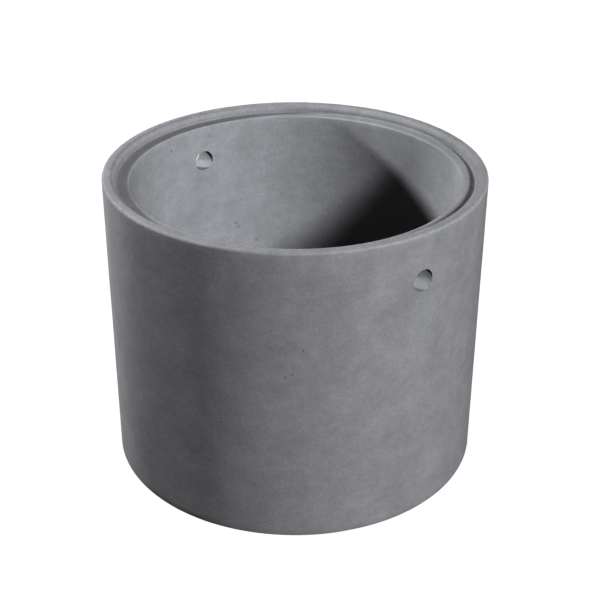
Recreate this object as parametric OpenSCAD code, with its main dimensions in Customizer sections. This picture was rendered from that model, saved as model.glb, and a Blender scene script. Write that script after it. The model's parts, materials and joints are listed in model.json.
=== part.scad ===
// Precast concrete culvert ring, open at both ends, with a rebated top joint
// and a pair of lifting holes. It stands on its flat bottom face.
// The origin is the centre of that face, +Z is the ring's axis and the two
// lifting holes lie on the X axis. Sizes are in millimetres.

/* [Ring] */
// Clear bore of the ring
inner_diameter = 1000; // [600:10:2000]
// Thickness of the cast wall
wall = 80; // [60:1:120]
// Overall height, with the joint lip
height = 940; // [400:10:1200]

/* [Top joint] */
// Width of the lip that stands up along the outside of the joint
lip_width = 40; // [35:1:50]
// Depth of the rebate, from the top of the lip down to the ledge
rebate_depth = 25; // [22:1:45]
// Radius of the lip's inner top edge, which guides the next ring in
lip_lead_in = 19; // [4:1:20]

/* [Edges] */
// Radius of the outer top edge
top_edge = 10; // [2:1:14]
// Radius of the ledge's edge towards the bore
ledge_edge = 5; // [1:1:6]
// Radius of the outer and inner bottom edges
bottom_edge = 4; // [1:1:10]

/* [Lifting holes] */
// Diameter of each lifting hole
hole_diameter = 66; // [30:1:90]
// Distance from the top of the lip down to the centre of the holes
hole_drop = 145; // [110:1:200]

/* [Hidden] */

$fn = 180;

// How far a cutter runs past the surface that it opens
cut_past = 10;

inner_radius = inner_diameter / 2;
outer_radius = inner_radius + wall;
lip_radius = outer_radius - lip_width;
ledge_height = height - rebate_depth;

// What is taken off a right-angled corner at the origin to round it to
// radius r. The material lies towards -X and -Y.
module edge_cutter(r) {
    difference() {
        translate([-r, -r])
            square(r + cut_past);
        translate([-r, -r])
            circle(r);
        translate([-2 * r, -2 * r])
            square([r, 3 * r + cut_past]);
        translate([-2 * r, -2 * r])
            square([3 * r + cut_past, r]);
    }
}

// Section of the wall, with X as the radius and Y as the height
module wall_section() {
    difference() {
        translate([inner_radius, 0])
            square([wall, height]);
        // rebate that takes the next ring
        translate([inner_radius - cut_past, ledge_height])
            square([lip_radius - inner_radius + cut_past, rebate_depth + cut_past]);
        // outer top edge
        translate([outer_radius, height])
            edge_cutter(top_edge);
        // lead-in on the lip
        translate([lip_radius, height])
            mirror([1, 0])
                edge_cutter(lip_lead_in);
        // edge of the ledge towards the bore
        translate([inner_radius, ledge_height])
            mirror([1, 0])
                edge_cutter(ledge_edge);
        // outer bottom edge
        translate([outer_radius, 0])
            mirror([0, 1])
                edge_cutter(bottom_edge);
        // inner bottom edge
        translate([inner_radius, 0])
            rotate(180)
                edge_cutter(bottom_edge);
    }
}

// One straight bore that passes through the wall on both sides
module lifting_holes() {
    translate([0, 0, height - hole_drop])
        rotate([0, 90, 0])
            cylinder(d = hole_diameter, h = 2 * (outer_radius + cut_past), center = true);
}

// The whole ring is one casting
module concrete_ring() {
    color("#7f8184")
        difference() {
            rotate_extrude()
                wall_section();
            lifting_holes();
        }
}

concrete_ring();
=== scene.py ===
import json
import math

import bpy
from mathutils import Matrix, Vector


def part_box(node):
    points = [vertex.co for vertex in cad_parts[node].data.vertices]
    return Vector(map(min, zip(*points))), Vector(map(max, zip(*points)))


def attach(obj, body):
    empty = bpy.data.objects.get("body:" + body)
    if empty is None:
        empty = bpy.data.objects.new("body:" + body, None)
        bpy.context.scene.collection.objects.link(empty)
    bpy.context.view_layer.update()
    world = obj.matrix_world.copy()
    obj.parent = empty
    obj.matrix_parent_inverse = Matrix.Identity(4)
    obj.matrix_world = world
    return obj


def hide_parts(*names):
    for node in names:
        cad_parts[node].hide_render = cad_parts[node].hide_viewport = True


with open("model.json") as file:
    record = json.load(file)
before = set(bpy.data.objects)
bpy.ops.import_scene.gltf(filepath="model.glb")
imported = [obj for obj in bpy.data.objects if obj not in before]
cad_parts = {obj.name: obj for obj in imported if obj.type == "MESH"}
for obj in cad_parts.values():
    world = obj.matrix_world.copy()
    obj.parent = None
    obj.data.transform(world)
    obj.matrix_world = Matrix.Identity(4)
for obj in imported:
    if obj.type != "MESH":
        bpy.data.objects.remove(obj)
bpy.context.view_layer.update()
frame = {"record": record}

# ---------------------------------------------------------------- sizes, in metres and degrees

MM = 0.001
MOUNTS = {mount["name"]: mount for mount in frame["record"]["mounts"]}
TOP_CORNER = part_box("concrete_ring")[1]
HEIGHT = TOP_CORNER.z
OUTER_RADIUS = TOP_CORNER.x
BORE_RADIUS = MOUNTS["main_bore"]["dims"]["r_mm"] * MM
LIP_WIDTH = 40 * MM
LIP_RADIUS = OUTER_RADIUS - LIP_WIDTH
LEDGE_HEIGHT = MOUNTS["joint_ledge"]["pos_m"][2]
HOLE_RADIUS = MOUNTS["lifting_hole_plus_x"]["dims"]["r_mm"] * MM
HOLE_HEIGHT = MOUNTS["lifting_hole_plus_x"]["pos_m"][2]

# Roundings of the wall's section
LIP_LEAD_IN = 19 * MM
TOP_EDGE = 10 * MM
LEDGE_EDGE = 5 * MM
REBATE_CORNER = 2.5 * MM
BOTTOM_EDGE = 4 * MM

# Rounding of a hole's mouth, and how many degrees of it there are before it runs straight out of the wall
HOLE_MOUTH = 1.5 * MM
HOLE_MOUTH_ARC = 52

# How finely the ring is drawn
STEPS_ROUND = 512
WALL_STEP = 18 * MM
SHORTEST_WALL = 500 * MM
FLAT_STEP = 8 * MM
ARC_STEP = 2.2 * MM
FEWEST_ARC_STEPS = 3
HOLE_STEPS_ROUND = 72
HOLE_MOUTH_STEPS = 3
HOLE_DEPTH_STEPS = 5
CUTTER_OVERRUN = 12 * MM
SEAM_WELD = 0.01 * MM
SLIVER_WELD = 0.3 * MM
# Edges that bend by more than this are drawn crisp
CRISP_ANGLE = 24

# How far the mould's skin is from true, over what lengths, and its seed
SKIN_WAVINESS = 1.2 * MM
SKIN_WAVE = 140 * MM
EDGE_WEAR = 0.4 * MM
EDGE_NICK = 26 * MM
SKIN_SEED = 4.0

# The concrete's colours
CEMENT_DARK = "#8a8b8d"
CEMENT_PALE = "#a2a3a6"
# Pale edge colour: partly rubbed wear, partly a painted highlight on the roundings
RUBBED_EDGE_AND_SHEEN = "#b4b5b7"
# The pits' dark colour: painted shade inside the blowholes and knocks
PIT_PAINTED_SHADE = "#55565a"

# Tints that the cement is multiplied by, the first of which leaves it alone
UNTINTED = "#ffffff"
OIL_TINT = "#e6e6e7"
SAND_TINT = "#dfdfe0"
# The outside's tint, which leaves the bore paler: painted light for the light bounced round inside the bore
PAINTED_BOUNCE_TINT = "#f1f1f1"

# Real sizes of its patterns
CLOUD = 110 * MM
SMEAR = 40 * MM
SMEAR_FLATTENING = 1.4
SAND_PATCH = 7 * MM
SCUFF = 12 * MM
MOULD_LUMP = 18 * MM

# How far into the wall the bore's paler colour, painted light for the light bounced round inside the bore,
# starts and stops giving way to the outside's
BORE_BOUNCE_BAND = (3 * MM, 12 * MM)

# The stretch of a pattern that turns from none to all, for nicks and for scuffs, and how pale a scuff goes,
# partly wear and partly a painted highlight on the rounded edges
NICKED = (0.4, 0.75)
SCUFFED = (0.35, 0.7)
SCUFF_AND_SHEEN_STRENGTH = 0.08

# Roughness of the cement, where it is dark and where it is pale
ROUGHNESS = (0.9, 1.0)

# Blowholes: the cell that may hold one, the share of the cells that hold none, the largest one's radius,
# and the rim over which it sinks
BLOWHOLE_CELL = 60 * MM
CELLS_WITHOUT = 0.55
BLOWHOLE_RADIUS = 3.3 * MM
BLOWHOLE_RIM = 1.2 * MM

# Depths of its relief
LUMP_DEPTH = 0.35 * MM
GRAIN_DEPTH = 0.35 * MM
BLOWHOLE_DEPTH = 1.5 * MM

# Knocks in the skin: azimuth, height, distance from the ring's axis, radius
KNOCKS = [
    (49.7, 0.554, OUTER_RADIUS, 7 * MM),
    (51.6, 0.563, OUTER_RADIUS, 7 * MM),
    (256.9, 0.538, BORE_RADIUS, 8 * MM),
    (255.9, 0.522, BORE_RADIUS, 8 * MM),
    (248.4, 0.460, BORE_RADIUS, 8 * MM),
]
# A knock's flat floor as a share of its radius, and its depth as a share of a blowhole's
KNOCK_FLOOR = 0.3
KNOCK_DEPTH = 0.32

# Camera: where it stands round the ring, its lens and sensor in millimetres, its roll, and where it aims
CAMERA_AZIMUTH = 52.15
CAMERA_ELEVATION = 28.78
CAMERA_DISTANCE = 3.983
CAMERA_LENS = 74.8
SENSOR_WIDTH = 36
CAMERA_ROLL = 0.217
AIM_HEIGHT = 0.4817
AIM_RIGHT = 0.016

# Softboxes: name, degrees to the right of the camera, aim as right, away and up from the ring's foot,
# elevation, distance, width across, and the light thrown on the aim in watts a square metre
SOFTBOXES = [
    ("key_light", 39.3, (0.0, 0.0, 0.7), 33.3, 30.0, 6.0, 7.0),
    ("left_light", -106.5, (0.43, 0.25, 0.75), 17.7, 6.0, 0.6, 6.1),
    ("back_light", 165.0, (0.0, 0.0, 0.5), 4.0, 8.0, 3.0, 1.6),
]
SURROUND_WHITE = "#ffffff"
AMBIENT_COLOUR = "#fff0ea"
AMBIENT_STRENGTH = 0.105
VIEW_GAMMA = 0.6

# The floor's half width, its drop under the ring, and its painted shade: how far it reaches and how strong it
# is
FLOOR_REACH = 30
FLOOR_DROP = 0.2 * MM
SHADE_REACH = 120 * MM
SHADE_UNDER_FOOT = 0.97
SHADE_IN_OPEN = 1.03


# ---------------------------------------------------------------- small helpers

def srgb(hex_colour):
    """A '#rrggbb' colour as the linear RGBA that Blender's sockets hold."""
    channels = [int(hex_colour[i:i + 2], 16) / 255 for i in (1, 3, 5)]
    return [c / 12.92 if c <= 0.04045 else ((c + 0.055) / 1.055) ** 2.4 for c in channels] + [1.0]


def towards(azimuth, elevation):
    """The direction out from the ring: azimuth 0 is -Y and 90 is +X, elevation is above the horizon."""
    a, e = math.radians(azimuth), math.radians(elevation)
    return Vector((math.sin(a) * math.cos(e), -math.cos(a) * math.cos(e), math.sin(e)))


def add(tree, kind, inputs=None, **settings):
    """Adds a node. Settings are its own properties. Inputs are its sockets, each given a value, a socket
    to link, or a list of sockets to link."""
    node = tree.nodes.new(kind)
    for name, value in settings.items():
        setattr(node, name, value)
    for key, value in (inputs or {}).items():
        socket = node.inputs[key]
        if isinstance(value, bpy.types.NodeSocket):
            tree.links.new(value, socket)
        elif isinstance(value, list) and isinstance(value[0], bpy.types.NodeSocket):
            for one in value:
                tree.links.new(one, socket)
        else:
            socket.default_value = value
    return node


# ---------------------------------------------------------------- camera, lights and floor

def make_camera():
    aim = Matrix.Rotation(math.radians(CAMERA_AZIMUTH), 3, "Z") @ Vector((AIM_RIGHT, 0, 0))
    aim.z = AIM_HEIGHT
    out = towards(CAMERA_AZIMUTH, CAMERA_ELEVATION)
    data = bpy.data.cameras.new("camera")
    data.lens = CAMERA_LENS
    data.sensor_width = SENSOR_WIDTH
    camera = bpy.data.objects.new("camera", data)
    camera.location = aim + out * CAMERA_DISTANCE
    turn = out.to_track_quat("Z", "Y").to_matrix() @ Matrix.Rotation(math.radians(CAMERA_ROLL), 3, "Z")
    camera.rotation_euler = turn.to_euler()
    bpy.context.scene.collection.objects.link(camera)
    bpy.context.scene.camera = camera


def make_softbox(name, turn, aim, elevation, distance, across, brightness):
    """A round softbox that faces aim, placed as the list of softboxes says."""
    aim = Matrix.Rotation(math.radians(CAMERA_AZIMUTH), 3, "Z") @ Vector(aim)
    out = towards(CAMERA_AZIMUTH + turn, elevation)
    data = bpy.data.lights.new(name, "AREA")
    data.shape = "DISK"
    data.size = across
    # Straight ahead, a flat lamp's light is its energy over pi and the distance squared
    data.energy = brightness * math.pi * distance ** 2
    lamp = bpy.data.objects.new(name, data)
    lamp.location = aim + out * distance
    lamp.rotation_euler = out.to_track_quat("Z", "Y").to_euler()
    bpy.context.scene.collection.objects.link(lamp)


def make_surroundings():
    """A white surround that is seen, and a faint even light that reaches the ring."""
    world = bpy.data.worlds.new("studio")
    world.use_nodes = True
    tree = world.node_tree
    tree.nodes.clear()
    seen = add(tree, "ShaderNodeBackground", {"Color": srgb(SURROUND_WHITE), "Strength": 1.0})
    ambient = add(tree, "ShaderNodeBackground", {"Color": srgb(AMBIENT_COLOUR),
                                                 "Strength": AMBIENT_STRENGTH})
    path = add(tree, "ShaderNodeLightPath")
    mixed = add(tree, "ShaderNodeMixShader", {0: path.outputs["Is Camera Ray"], 1: ambient.outputs[0],
                                              2: seen.outputs[0]})
    add(tree, "ShaderNodeOutputWorld", {"Surface": mixed.outputs[0]})
    bpy.context.scene.world = world


def make_floor():
    signs = ((-1, -1), (1, -1), (1, 1), (-1, 1))
    corners = [(x * FLOOR_REACH, y * FLOOR_REACH, -FLOOR_DROP) for x, y in signs]
    mesh = bpy.data.meshes.new("floor")
    mesh.from_pydata(corners, [], [(0, 1, 2, 3)])
    floor = bpy.data.objects.new("floor", mesh)
    bpy.context.scene.collection.objects.link(floor)
    # Matt white paper that glows white on its own, with only a breath of painted shade under the ring's foot
    material = bpy.data.materials.new("paper_matt_white")
    material.use_nodes = True
    tree = material.node_tree
    tree.nodes.clear()
    shade = add(tree, "ShaderNodeAmbientOcclusion", {"Distance": SHADE_REACH}, samples=8)
    tone = add(tree, "ShaderNodeMapRange", {"Value": shade.outputs["AO"], "To Min": SHADE_UNDER_FOOT,
                                            "To Max": SHADE_IN_OPEN})
    glow = add(tree, "ShaderNodeEmission", {"Color": srgb(SURROUND_WHITE), "Strength": tone.outputs[0]})
    add(tree, "ShaderNodeOutputMaterial", {"Surface": glow.outputs[0]})
    mesh.materials.append(material)
    floor.visible_diffuse = False
    floor.visible_glossy = False


# ---------------------------------------------------------------- the ring's section

def rounded_section():
    """The wall's section as (radius, height, wear) round its outline. Wear is 1 on a rounding's crown."""
    corners = [
        (OUTER_RADIUS, 0, BOTTOM_EDGE, 1),
        (OUTER_RADIUS, HEIGHT, TOP_EDGE, 1),
        (LIP_RADIUS, HEIGHT, LIP_LEAD_IN, 1),
        (LIP_RADIUS, LEDGE_HEIGHT, REBATE_CORNER, 0),
        (BORE_RADIUS, LEDGE_HEIGHT, LEDGE_EDGE, 0),
        (BORE_RADIUS, 0, BOTTOM_EDGE, 1),
    ]
    outline = []
    for i, (radius, height, rounding, worn_and_sheen) in enumerate(corners):
        corner = Vector((radius, height))
        before = (Vector(corners[i - 1][:2]) - corner).normalized()
        after = (Vector(corners[(i + 1) % len(corners)][:2]) - corner).normalized()
        centre = corner + (before + after) * rounding
        steps = max(FEWEST_ARC_STEPS, round(rounding * math.pi / 2 / ARC_STEP))
        for k in range(steps + 1):
            turn = math.pi / 2 * k / steps
            point = centre - after * rounding * math.cos(turn) - before * rounding * math.sin(turn)
            outline.append((point.x, point.y, worn_and_sheen * math.sin(2 * turn)))
    filled = []
    for here, following in zip(outline, outline[1:] + outline[:1]):
        span = math.hypot(following[0] - here[0], following[1] - here[1])
        step = WALL_STEP if span > SHORTEST_WALL else FLAT_STEP
        count = max(1, round(span / step))
        for k in range(count):
            t = k / count
            filled.append(tuple(a + (b - a) * t for a, b in zip(here, following)))
    return filled


def hole_section():
    """A lifting hole's cutter as (distance from the ring's axis, radius), from the bore out past the wall."""
    turn = math.radians(HOLE_MOUTH_ARC) / HOLE_MOUTH_STEPS
    arc = [turn * k for k in range(HOLE_MOUTH_STEPS + 1)]
    flare = [(HOLE_MOUTH * (1 - math.sin(a)), HOLE_MOUTH * (1 - math.cos(a))) for a in reversed(arc)]
    inner = [(BORE_RADIUS + depth, HOLE_RADIUS + wider) for depth, wider in flare]
    outer = [(OUTER_RADIUS - depth, HOLE_RADIUS + wider) for depth, wider in reversed(flare)]
    outline = [(BORE_RADIUS - CUTTER_OVERRUN, 0), (BORE_RADIUS - CUTTER_OVERRUN, inner[0][1])] + inner
    for k in range(1, HOLE_DEPTH_STEPS):
        t = k / HOLE_DEPTH_STEPS
        outline.append((inner[-1][0] + (outer[0][0] - inner[-1][0]) * t, HOLE_RADIUS))
    outline += outer + [(OUTER_RADIUS + CUTTER_OVERRUN, outer[-1][1]), (OUTER_RADIUS + CUTTER_OVERRUN, 0)]
    return outline


def sections_mesh():
    """Both sections as loose points in order, marked with the one they belong to."""
    wall = rounded_section()
    hole = hole_section()
    mesh = bpy.data.meshes.new("sections")
    points = [(radius, 0, height) for radius, height, _ in wall] + [(out, 0, radius) for out, radius in hole]
    mesh.from_pydata(points, [], [])
    wear = mesh.attributes.new("wear", "FLOAT", "POINT")
    wear.data.foreach_set("value", [worn_and_sheen for _, _, worn_and_sheen in wall] + [0.0] * len(hole))
    is_hole = mesh.attributes.new("is_hole", "BOOLEAN", "POINT")
    is_hole.data.foreach_set("value", [False] * len(wall) + [True] * len(hole))
    return mesh


# ---------------------------------------------------------------- the ring, by geometry nodes

def new_tree(name, inputs):
    """An empty geometry node group with a geometry in and out, and the named inputs."""
    tree = bpy.data.node_groups.new(name, "GeometryNodeTree")
    tree.interface.new_socket("Geometry", in_out="INPUT", socket_type="NodeSocketGeometry")
    for label, kind, default in inputs:
        socket = tree.interface.new_socket(label, in_out="INPUT", socket_type=kind)
        socket.default_value = default
    tree.interface.new_socket("Geometry", in_out="OUTPUT", socket_type="NodeSocketGeometry")
    return tree


def turned_section_tree():
    """Turns a string of points, x out and z up, about the Z axis into a closed skin."""
    tree = new_tree("turned_section", [("Steps Round", "NodeSocketInt", STEPS_ROUND)])
    given = add(tree, "NodeGroupInput")
    size = add(tree, "GeometryNodeAttributeDomainSize", {0: given.outputs["Geometry"]})
    count = size.outputs["Point Count"]
    columns = add(tree, "FunctionNodeIntegerMath", {0: given.outputs["Steps Round"], 1: 1}, operation="ADD")
    rows = add(tree, "FunctionNodeIntegerMath", {0: count, 1: 1}, operation="ADD")
    grid = add(tree, "GeometryNodeMeshGrid", {"Vertices X": columns.outputs[0],
                                              "Vertices Y": rows.outputs[0]})
    index = add(tree, "GeometryNodeInputIndex")
    column = add(tree, "FunctionNodeIntegerMath", {0: index.outputs[0], 1: rows.outputs[0]},
                 operation="DIVIDE")
    row = add(tree, "FunctionNodeIntegerMath", {0: index.outputs[0], 1: rows.outputs[0]}, operation="MODULO")
    point = add(tree, "FunctionNodeIntegerMath", {0: row.outputs[0], 1: count}, operation="MODULO")
    turn = add(tree, "ShaderNodeMath", {0: column.outputs[0], 1: given.outputs["Steps Round"]},
               operation="DIVIDE")
    angle = add(tree, "ShaderNodeMath", {0: turn.outputs[0], 1: math.tau}, operation="MULTIPLY")
    place = add(tree, "GeometryNodeInputPosition")
    sampled = add(tree, "GeometryNodeSampleIndex", {"Geometry": given.outputs["Geometry"],
                                                    "Value": place.outputs[0], "Index": point.outputs[0]},
                  data_type="FLOAT_VECTOR")
    turned = add(tree, "ShaderNodeVectorRotate", {"Vector": sampled.outputs[0], "Angle": angle.outputs[0]},
                 rotation_type="Z_AXIS")
    placed = add(tree, "GeometryNodeSetPosition", {"Geometry": grid.outputs["Mesh"],
                                                   "Position": turned.outputs[0]})
    wear = add(tree, "GeometryNodeInputNamedAttribute", {"Name": "wear"})
    wear_here = add(tree, "GeometryNodeSampleIndex", {"Geometry": given.outputs["Geometry"],
                                                      "Value": wear.outputs["Attribute"],
                                                      "Index": point.outputs[0]})
    stored = add(tree, "GeometryNodeStoreNamedAttribute", {"Geometry": placed.outputs[0], "Name": "wear",
                                                           "Value": wear_here.outputs[0]})
    closed = add(tree, "GeometryNodeMergeByDistance", {"Geometry": stored.outputs[0], "Distance": SEAM_WELD})
    add(tree, "NodeGroupOutput", {"Geometry": closed.outputs[0]})
    return tree


def lifting_hole_cutters(tree, given, points, turned_section):
    """Both holes' cutters, turned from the holes' section and bent to the round wall."""
    # The points stand along Z to be turned, and the cutter is laid along X afterwards
    stand_up = add(tree, "GeometryNodeTransform", {"Geometry": points, "Rotation": (0, -math.pi / 2, 0)})
    flip = add(tree, "GeometryNodeTransform", {"Geometry": stand_up.outputs[0], "Scale": (-1, 1, 1)})
    cutter = add(tree, "GeometryNodeGroup", {"Geometry": flip.outputs[0],
                                             "Steps Round": given.outputs["Hole Steps Round"]},
                 node_tree=turned_section)
    laid = add(tree, "GeometryNodeTransform", {"Geometry": cutter.outputs[0],
                                               "Rotation": (0, math.pi / 2, 0)})
    # Distances along the cutter are taken from the ring's axis, so its mouths follow the round wall
    place = add(tree, "GeometryNodeInputPosition")
    axes = add(tree, "ShaderNodeSeparateXYZ", {0: place.outputs[0]})
    x_squared = add(tree, "ShaderNodeMath", {0: axes.outputs["X"], 1: 2.0}, operation="POWER")
    y_squared = add(tree, "ShaderNodeMath", {0: axes.outputs["Y"], 1: axes.outputs["Y"]},
                    operation="MULTIPLY")
    gap = add(tree, "ShaderNodeMath", {0: x_squared.outputs[0], 1: y_squared.outputs[0]},
              operation="SUBTRACT")
    bent_x = add(tree, "ShaderNodeMath", {0: gap.outputs[0]}, operation="SQRT")
    lifted_z = add(tree, "ShaderNodeMath", {0: axes.outputs["Z"], 1: given.outputs["Hole Height"]},
                   operation="ADD")
    bent = add(tree, "ShaderNodeCombineXYZ", {"X": bent_x.outputs[0], "Y": axes.outputs["Y"],
                                              "Z": lifted_z.outputs[0]})
    cutter_plus = add(tree, "GeometryNodeSetPosition", {"Geometry": laid.outputs[0],
                                                        "Position": bent.outputs[0]})
    cutter_minus = add(tree, "GeometryNodeTransform", {"Geometry": cutter_plus.outputs[0],
                                                       "Rotation": (0, 0, math.pi)})
    return [cutter_plus.outputs[0], cutter_minus.outputs[0]]


def mould_skin(tree, given, ring):
    """The skin as the mould leaves it. It only ever sinks inwards, so the ring stays inside its true size."""
    waves = add(tree, "ShaderNodeTexNoise", {"W": given.outputs["Seed"], "Scale": 1 / SKIN_WAVE,
                                             "Detail": 2.0}, noise_dimensions="4D")
    nicks = add(tree, "ShaderNodeTexNoise", {"W": given.outputs["Seed"], "Scale": 1 / EDGE_NICK,
                                             "Detail": 2.0}, noise_dimensions="4D")
    sunk = add(tree, "ShaderNodeMath", {0: waves.outputs[0], 1: given.outputs["Skin Waviness"]},
               operation="MULTIPLY")
    wear = add(tree, "GeometryNodeInputNamedAttribute", {"Name": "wear"})
    nicked = add(tree, "ShaderNodeMapRange", {"Value": nicks.outputs[0], "From Min": NICKED[0],
                                              "From Max": NICKED[1], "To Max": 1.0})
    nicked_edge = add(tree, "ShaderNodeMath", {0: wear.outputs["Attribute"], 1: nicked.outputs[0]},
                      operation="MULTIPLY")
    depth = add(tree, "ShaderNodeMath", {0: nicked_edge.outputs[0], 1: given.outputs["Edge Wear"],
                                         2: sunk.outputs[0]}, operation="MULTIPLY_ADD")
    inwards = add(tree, "ShaderNodeMath", {0: depth.outputs[0], 1: -1.0}, operation="MULTIPLY")
    normal = add(tree, "GeometryNodeInputNormal")
    offset = add(tree, "ShaderNodeVectorMath", {0: normal.outputs[0], "Scale": inwards.outputs[0]},
                 operation="SCALE")
    skin = add(tree, "GeometryNodeSetPosition", {"Geometry": ring, "Offset": offset.outputs[0]})
    return skin.outputs[0]


def smooth_and_crisp(tree, ring):
    """Smooth over the walls and roundings, and crisp where a hole meets a wall."""
    bend = add(tree, "GeometryNodeInputMeshEdgeAngle")
    smooth = add(tree, "FunctionNodeCompare", {0: bend.outputs[0], 1: math.radians(CRISP_ANGLE)},
                 operation="LESS_THAN")
    faces = add(tree, "GeometryNodeSetShadeSmooth", {"Geometry": ring})
    edges = add(tree, "GeometryNodeSetShadeSmooth", {"Geometry": faces.outputs[0],
                                                     "Shade Smooth": smooth.outputs[0]}, domain="EDGE")
    return edges.outputs[0]


# What the ring's tree is given: name, kind, value
RING_INPUTS = [
    ("Steps Round", "NodeSocketInt", STEPS_ROUND),
    ("Hole Steps Round", "NodeSocketInt", HOLE_STEPS_ROUND),
    ("Hole Height", "NodeSocketFloat", HOLE_HEIGHT),
    ("Skin Waviness", "NodeSocketFloat", SKIN_WAVINESS),
    ("Edge Wear", "NodeSocketFloat", EDGE_WEAR),
    ("Seed", "NodeSocketFloat", SKIN_SEED),
]


def ring_tree(turned_section, material):
    """The ring turned from its section, with the lifting holes cut and the skin left as a mould leaves it."""
    tree = new_tree("cast_ring", RING_INPUTS)
    given = add(tree, "NodeGroupInput")
    is_hole = add(tree, "GeometryNodeInputNamedAttribute", {"Name": "is_hole"}, data_type="BOOLEAN")
    parts = add(tree, "GeometryNodeSeparateGeometry", {"Geometry": given.outputs["Geometry"],
                                                       "Selection": is_hole.outputs["Attribute"]})
    ring = add(tree, "GeometryNodeGroup", {"Geometry": parts.outputs["Inverted"],
                                           "Steps Round": given.outputs["Steps Round"]},
               node_tree=turned_section)
    cutters = lifting_hole_cutters(tree, given, parts.outputs["Selection"], turned_section)
    cut = add(tree, "GeometryNodeMeshBoolean", {0: ring.outputs[0], 1: cutters},
              operation="DIFFERENCE", solver="EXACT")
    # The cut leaves slivers beside the holes, which would draw as hairlines
    welded = add(tree, "GeometryNodeMergeByDistance", {"Geometry": cut.outputs[0],
                                                       "Distance": SLIVER_WELD})
    skin = mould_skin(tree, given, welded.outputs[0])
    real = add(tree, "GeometryNodeRealizeInstances", {"Geometry": smooth_and_crisp(tree, skin)})
    finished = add(tree, "GeometryNodeSetMaterial", {"Geometry": real.outputs[0], "Material": material})
    add(tree, "NodeGroupOutput", {"Geometry": finished.outputs[0]})
    return tree


def make_ring(material):
    """Runs the tree once and keeps the result as a plain mesh."""
    draft = bpy.data.objects.new("sections", sections_mesh())
    bpy.context.scene.collection.objects.link(draft)
    tree = ring_tree(turned_section_tree(), material)
    modifier = draft.modifiers.new("cast_ring", "NODES")
    modifier.node_group = tree
    sizes = {label: size for label, _, size in RING_INPUTS}
    for socket in tree.interface.items_tree:
        if socket.in_out == "INPUT" and socket.name in sizes:
            modifier[socket.identifier] = sizes[socket.name]
    evaluated = draft.evaluated_get(bpy.context.evaluated_depsgraph_get())
    mesh = bpy.data.meshes.new_from_object(evaluated)
    draft.modifiers.remove(modifier)
    bpy.data.objects.remove(draft)
    ring = bpy.data.objects.new("cast_ring", mesh)
    bpy.context.scene.collection.objects.link(ring)
    return ring


# ---------------------------------------------------------------- the concrete

def cement(tree, place):
    """The cement's clouds, its sand and its colour, as three sockets."""
    # Cloudy at 110 mm, where the skin dried at its own pace
    clouds = add(tree, "ShaderNodeTexNoise", {"Vector": place, "Scale": 1 / CLOUD, "Detail": 5.0,
                                              "Roughness": 0.6})
    cloudy = add(tree, "ShaderNodeMix", {"Factor": clouds.outputs[0], 6: srgb(CEMENT_DARK),
                                         7: srgb(CEMENT_PALE)}, data_type="RGBA")
    # Smears of 40 mm, a little wider than tall, from oil on the mould
    smear_place = add(tree, "ShaderNodeMapping", {"Vector": place, "Scale": (1.0, 1.0, SMEAR_FLATTENING)})
    smears = add(tree, "ShaderNodeTexNoise", {"Vector": smear_place.outputs[0], "Scale": 1 / SMEAR,
                                              "Detail": 4.0, "Roughness": 0.6})
    oil = add(tree, "ShaderNodeMix", {"Factor": smears.outputs[0], 6: srgb(OIL_TINT), 7: srgb(UNTINTED)},
              data_type="RGBA")
    smeared = add(tree, "ShaderNodeMix", {"Factor": 1.0, 6: cloudy.outputs[2], 7: oil.outputs[2]},
                  data_type="RGBA", blend_type="MULTIPLY")
    # Sand in the skin: 7 mm patches, with grit of 2 mm in them
    sand = add(tree, "ShaderNodeTexNoise", {"Vector": place, "Scale": 1 / SAND_PATCH, "Detail": 2.0,
                                            "Roughness": 0.6})
    sand_tone = add(tree, "ShaderNodeMix", {"Factor": sand.outputs[0], 6: srgb(SAND_TINT),
                                            7: srgb(UNTINTED)}, data_type="RGBA")
    sandy = add(tree, "ShaderNodeMix", {"Factor": 1.0, 6: smeared.outputs[2], 7: sand_tone.outputs[2]},
                data_type="RGBA", blend_type="MULTIPLY")
    return clouds.outputs[0], sand.outputs[0], sandy.outputs[2]


def painted_bore_bounce(tree, place, colour):
    """The colour a shade darker on the outside than in the bore, whose paler colour is painted light standing
    in for light bounced round inside the bore.
    """
    axes = add(tree, "ShaderNodeSeparateXYZ", {0: place})
    flat = add(tree, "ShaderNodeCombineXYZ", {"X": axes.outputs["X"], "Y": axes.outputs["Y"]})
    from_axis = add(tree, "ShaderNodeVectorMath", {0: flat.outputs[0]}, operation="LENGTH")
    outside = add(tree, "ShaderNodeMapRange", {"Value": from_axis.outputs["Value"],
                                               "From Min": BORE_RADIUS + BORE_BOUNCE_BAND[0],
                                               "From Max": BORE_RADIUS + BORE_BOUNCE_BAND[1]})
    bounce_tint = add(tree, "ShaderNodeMix", {"Factor": outside.outputs[0], 6: srgb(UNTINTED),
                                          7: srgb(PAINTED_BOUNCE_TINT)}, data_type="RGBA")
    skin = add(tree, "ShaderNodeMix", {"Factor": 1.0, 6: colour, 7: bounce_tint.outputs[2]},
               data_type="RGBA", blend_type="MULTIPLY")
    return skin.outputs[2]


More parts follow.
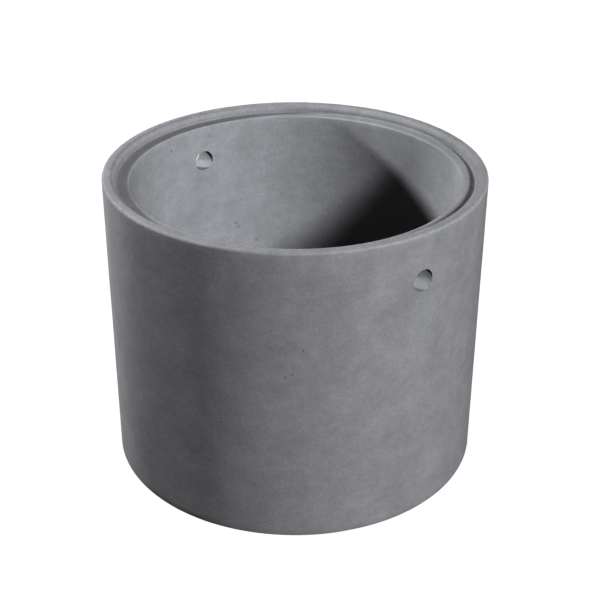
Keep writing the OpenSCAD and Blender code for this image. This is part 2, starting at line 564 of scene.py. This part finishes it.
def pits_and_knocks(tree, place):
    """How deep the skin is pitted, from 0 to 1: blowholes of up to 6 mm in some of the cells, and knocks."""
    cells = add(tree, "ShaderNodeTexVoronoi", {"Vector": place, "Scale": 1 / BLOWHOLE_CELL})
    chance = add(tree, "ShaderNodeSeparateColor", {0: cells.outputs["Color"]})
    reach = add(tree, "ShaderNodeMapRange", {"Value": chance.outputs[0], "From Min": CELLS_WITHOUT,
                                             "From Max": 1.0, "To Min": 0.0,
                                             "To Max": BLOWHOLE_RADIUS / BLOWHOLE_CELL})
    inside = add(tree, "ShaderNodeMath", {0: reach.outputs[0], 1: cells.outputs["Distance"]},
                 operation="SUBTRACT")
    depth = add(tree, "ShaderNodeMapRange", {"Value": inside.outputs[0], "From Min": 0.0,
                                             "From Max": BLOWHOLE_RIM / BLOWHOLE_CELL})
    for azimuth, height, out, radius in KNOCKS:
        centre = towards(azimuth, 0) * out + Vector((0, 0, height))
        far = add(tree, "ShaderNodeVectorMath", {0: place, 1: centre}, operation="DISTANCE")
        knock = add(tree, "ShaderNodeMapRange", {"Value": far.outputs["Value"], "From Min": radius,
                                                 "From Max": KNOCK_FLOOR * radius,
                                                 "To Max": KNOCK_DEPTH})
        depth = add(tree, "ShaderNodeMath", {0: depth.outputs[0], 1: knock.outputs[0]},
                    operation="MAXIMUM")
    return depth.outputs[0]


def rubbed_edges_and_sheen(tree, place, colour):
    """The colour made pale on the rounded edges: partly rubbed where the ring is slung and stacked, partly a
    painted highlight.
    """
    wear = add(tree, "ShaderNodeAttribute", attribute_name="wear")
    scuffs = add(tree, "ShaderNodeTexNoise", {"Vector": place, "Scale": 1 / SCUFF, "Detail": 4.0})
    scuffed = add(tree, "ShaderNodeMapRange", {"Value": scuffs.outputs[0], "From Min": SCUFFED[0],
                                               "From Max": SCUFFED[1], "To Max": SCUFF_AND_SHEEN_STRENGTH})
    rubbed_and_sheen = add(tree, "ShaderNodeMath", {0: wear.outputs["Fac"], 1: scuffed.outputs[0]},
                 operation="MULTIPLY")
    worn_and_sheen = add(tree, "ShaderNodeMix", {"Factor": rubbed_and_sheen.outputs[0], 6: colour, 7: srgb(RUBBED_EDGE_AND_SHEEN)},
               data_type="RGBA")
    return worn_and_sheen.outputs[2]


def relief(tree, place, sand, pitted):
    """The skin's bump: low lumps of 18 mm from the mould, the tight sandy grain, and the pits."""
    lumps = add(tree, "ShaderNodeTexNoise", {"Vector": place, "Scale": 1 / MOULD_LUMP, "Detail": 2.0})
    low = add(tree, "ShaderNodeBump", {"Strength": 1.0, "Distance": LUMP_DEPTH, "Height": lumps.outputs[0]})
    grain = add(tree, "ShaderNodeBump", {"Strength": 1.0, "Distance": GRAIN_DEPTH, "Height": sand,
                                         "Normal": low.outputs[0]})
    pits = add(tree, "ShaderNodeBump", {"Strength": 1.0, "Distance": BLOWHOLE_DEPTH, "Height": pitted,
                                        "Normal": grain.outputs[0]}, invert=True)
    return pits.outputs[0]


def make_concrete():
    # Wet-cast concrete from a steel mould: a tight matt cement skin, cloudy where it dried unevenly, with
    # fine grit in the light, a few blowholes darkened with painted shade, a bore painted paler for the light
    # bounced round inside it, and paler edges, partly where it has been handled and partly a painted
    # highlight
    material = bpy.data.materials.new("concrete_cast_in_steel_mould")
    material.use_nodes = True
    tree = material.node_tree
    tree.nodes.clear()
    place = add(tree, "ShaderNodeTexCoord").outputs["Object"]
    clouds, sand, colour = cement(tree, place)
    # The bore painted paler than the outside, standing in for light bounced round inside it
    skin = painted_bore_bounce(tree, place, colour)
    pitted = pits_and_knocks(tree, place)
    # Blowholes and knocks darkened with painted shade, as far as they are pitted
    pit_shaded = add(tree, "ShaderNodeMix", {"Factor": pitted, 6: skin, 7: srgb(PIT_PAINTED_SHADE)}, data_type="RGBA")
    dryness = add(tree, "ShaderNodeMapRange", {"Value": clouds, "To Min": ROUGHNESS[0],
                                               "To Max": ROUGHNESS[1]})
    # Edges paled: partly wear, partly a painted highlight
    worn_and_sheen = rubbed_edges_and_sheen(tree, place, pit_shaded.outputs[2])
    surface = add(tree, "ShaderNodeBsdfPrincipled", {"Base Color": worn_and_sheen, "IOR": 1.5,
                                                     "Roughness": dryness.outputs[0],
                                                     "Normal": relief(tree, place, sand, pitted)})
    add(tree, "ShaderNodeOutputMaterial", {"Surface": surface.outputs[0]})
    return material


# ---------------------------------------------------------------- the scene

bpy.context.scene.view_settings.view_transform = "Standard"
bpy.context.scene.view_settings.gamma = VIEW_GAMMA
make_camera()
for softbox in SOFTBOXES:
    make_softbox(*softbox)
make_surroundings()
make_floor()

ring = make_ring(make_concrete())
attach(ring, "root")
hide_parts("concrete_ring")
